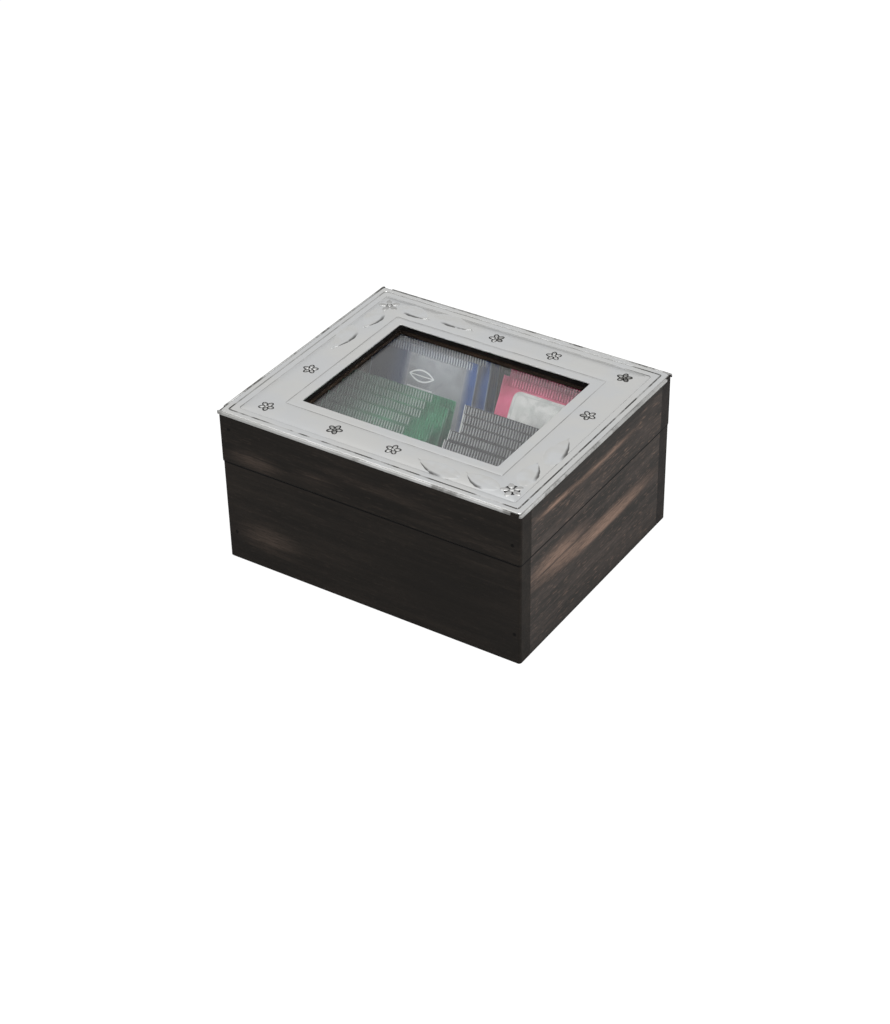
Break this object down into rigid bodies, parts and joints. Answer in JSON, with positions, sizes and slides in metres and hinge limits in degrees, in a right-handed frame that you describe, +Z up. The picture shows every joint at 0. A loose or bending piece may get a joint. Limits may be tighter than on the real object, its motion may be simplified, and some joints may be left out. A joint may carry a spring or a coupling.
{
  "type": "wooden tea box",
  "caption": "Dark wooden tea box with a hinged lid, a glass window in an embossed silver frame, and leaning rows of sealed tea packs inside.",
  "frame": {"origin": "middle of the footprint, on the surface the box stands on", "axes": "+X along the long front to the right, +Y to the back where the hinges are, +Z up"},
  "size_m": [0.2012, 0.1712, 0.1011],
  "materials": {
    "stained_wood": "near-black brown stain with a low sheen, grain showing",
    "inner_wood": "dark stain, matt",
    "silver": "satin silver-plated sheet, embossed, dark patina in the hollows",
    "window_glass": "clear flat glass",
    "brass": "plain, lightly worn",
    "nail_steel": "dark sunk nail heads",
    "pack_foil_blue": "printed foil film, crimped ends",
    "pack_foil_crimson": "printed foil film, crimped ends",
    "pack_foil_green": "printed foil film, crimped ends",
    "pack_foil_black": "printed foil film, crimped ends"
  },
  "bodies": {
    "box": {"base_back_board": "stained_wood", "base_bottom_panel": "inner_wood", "base_front_board": "stained_wood", "base_left_board": "stained_wood", "base_nail_back_left": "nail_steel", "base_nail_back_right": "nail_steel", "base_nail_front_left": "nail_steel", "base_nail_front_right": "nail_steel", "base_right_board": "stained_wood", "divider_cross": "inner_wood", "divider_long": "inner_wood", "hinge_base_leaf_left": "brass", "hinge_base_leaf_right": "brass", "hinge_pin_left": "brass", "hinge_pin_right": "brass", "pack_black_1": "pack_foil_black", "pack_black_2": "pack_foil_black", "pack_black_3": "pack_foil_black", "pack_black_4": "pack_foil_black", "pack_black_5": "pack_foil_black", "pack_blue_1": "pack_foil_blue", "pack_blue_2": "pack_foil_blue", "pack_blue_3": "pack_foil_blue", "pack_blue_4": "pack_foil_blue", "pack_crimson_1": "pack_foil_crimson", "pack_crimson_2": "pack_foil_crimson", "pack_crimson_3": "pack_foil_crimson", "pack_green_1": "pack_foil_green", "pack_green_2": "pack_foil_green", "pack_green_3": "pack_foil_green", "pack_green_4": "pack_foil_green", "pack_green_5": "pack_foil_green"},
    "lid": {"glass_bead_back": "inner_wood", "glass_bead_front": "inner_wood", "glass_bead_left": "inner_wood", "glass_bead_right": "inner_wood", "hinge_lid_leaf_left": "brass", "hinge_lid_leaf_right": "brass", "lid_back_board": "stained_wood", "lid_front_board": "stained_wood", "lid_left_board": "stained_wood", "lid_nail_back_left": "nail_steel", "lid_nail_back_right": "nail_steel", "lid_nail_front_left": "nail_steel", "lid_nail_front_right": "nail_steel", "lid_right_board": "stained_wood", "lid_top_panel": "stained_wood", "silver_plate": "silver", "window_glass": "window_glass"}
  },
  "joints": [
    {"name": "lid_hinge", "type": "hinge", "parent": "box", "child": "lid", "pos_m": [0, 0.08545, 0.0668], "axis": [-1, 0, 0], "range_deg": [0, 100]}
  ]
}
